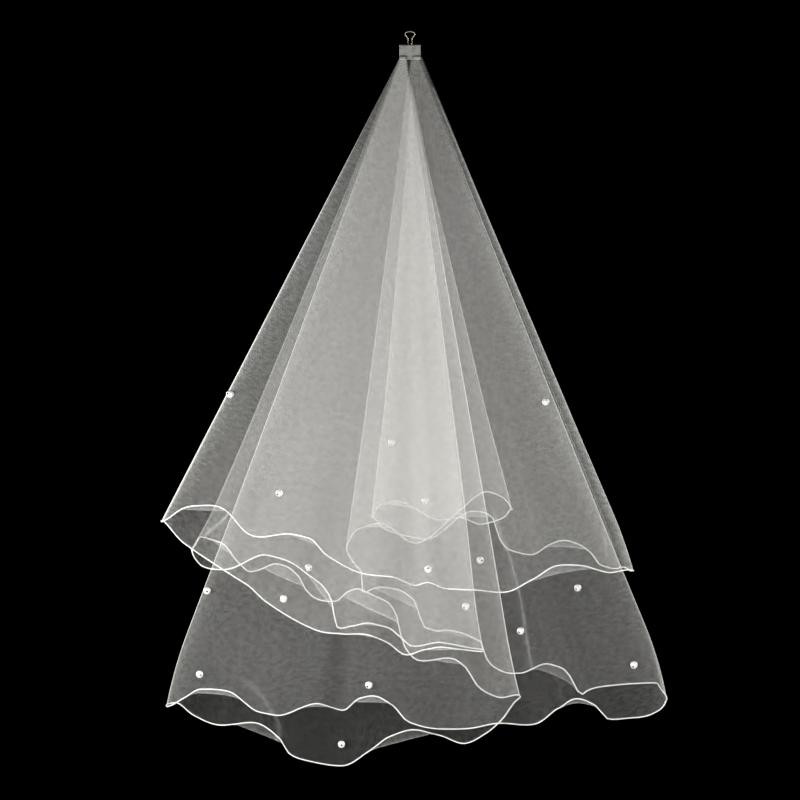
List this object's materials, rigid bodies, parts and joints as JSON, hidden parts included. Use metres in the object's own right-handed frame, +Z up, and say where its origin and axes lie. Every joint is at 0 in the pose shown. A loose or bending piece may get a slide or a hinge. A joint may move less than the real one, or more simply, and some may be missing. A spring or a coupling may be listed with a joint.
{
  "type": "bridal veil hung from a small clip",
  "caption": "Sheer white tulle bridal veil with a corded wavy hem and scattered pearls, pinched in a small sheet-steel clip and hung by the clip's wire loop.",
  "frame": {"origin": "the inside top of the clip handle's wire loop, where a hook or a pin carries the veil", "axes": "+Z up, +X to the viewer's right across the veil's width, +Y away from the viewer through its layers"},
  "size_m": [0.4514, 0.2161, 0.6664],
  "materials": {
    "tulle": "sheer, soft white net",
    "satin_cord": "glossy white satin cord",
    "pearl": "pearl lustre",
    "clip_sheet": "satin silver lacquer",
    "clip_wire": "bright nickel wire"
  },
  "bodies": {
    "root": {"tulle_stretch_01": "tulle", "tulle_stretch_02": "tulle", "tulle_stretch_03": "tulle", "tulle_stretch_04": "tulle", "tulle_stretch_05": "tulle", "tulle_stretch_06": "tulle", "tulle_stretch_07": "tulle", "tulle_stretch_08": "tulle", "tulle_stretch_09": "tulle", "tulle_stretch_10": "tulle", "hem_cord_01": "satin_cord", "hem_cord_02": "satin_cord", "hem_cord_03": "satin_cord", "hem_cord_04": "satin_cord", "hem_cord_05": "satin_cord", "hem_cord_06": "satin_cord", "hem_cord_07": "satin_cord", "hem_cord_08": "satin_cord", "hem_cord_09": "satin_cord", "hem_cord_10": "satin_cord", "pearl_01": "pearl", "pearl_02": "pearl", "pearl_03": "pearl", "pearl_04": "pearl", "pearl_05": "pearl", "pearl_06": "pearl", "pearl_07": "pearl", "pearl_08": "pearl", "pearl_09": "pearl", "pearl_10": "pearl", "pearl_11": "pearl", "pearl_12": "pearl", "pearl_13": "pearl", "pearl_14": "pearl", "pearl_15": "pearl", "pearl_16": "pearl", "pearl_17": "pearl", "gathered_top": "tulle", "clip_body": "clip_sheet", "clip_handle": "clip_wire"}
  },
  "joints": []
}
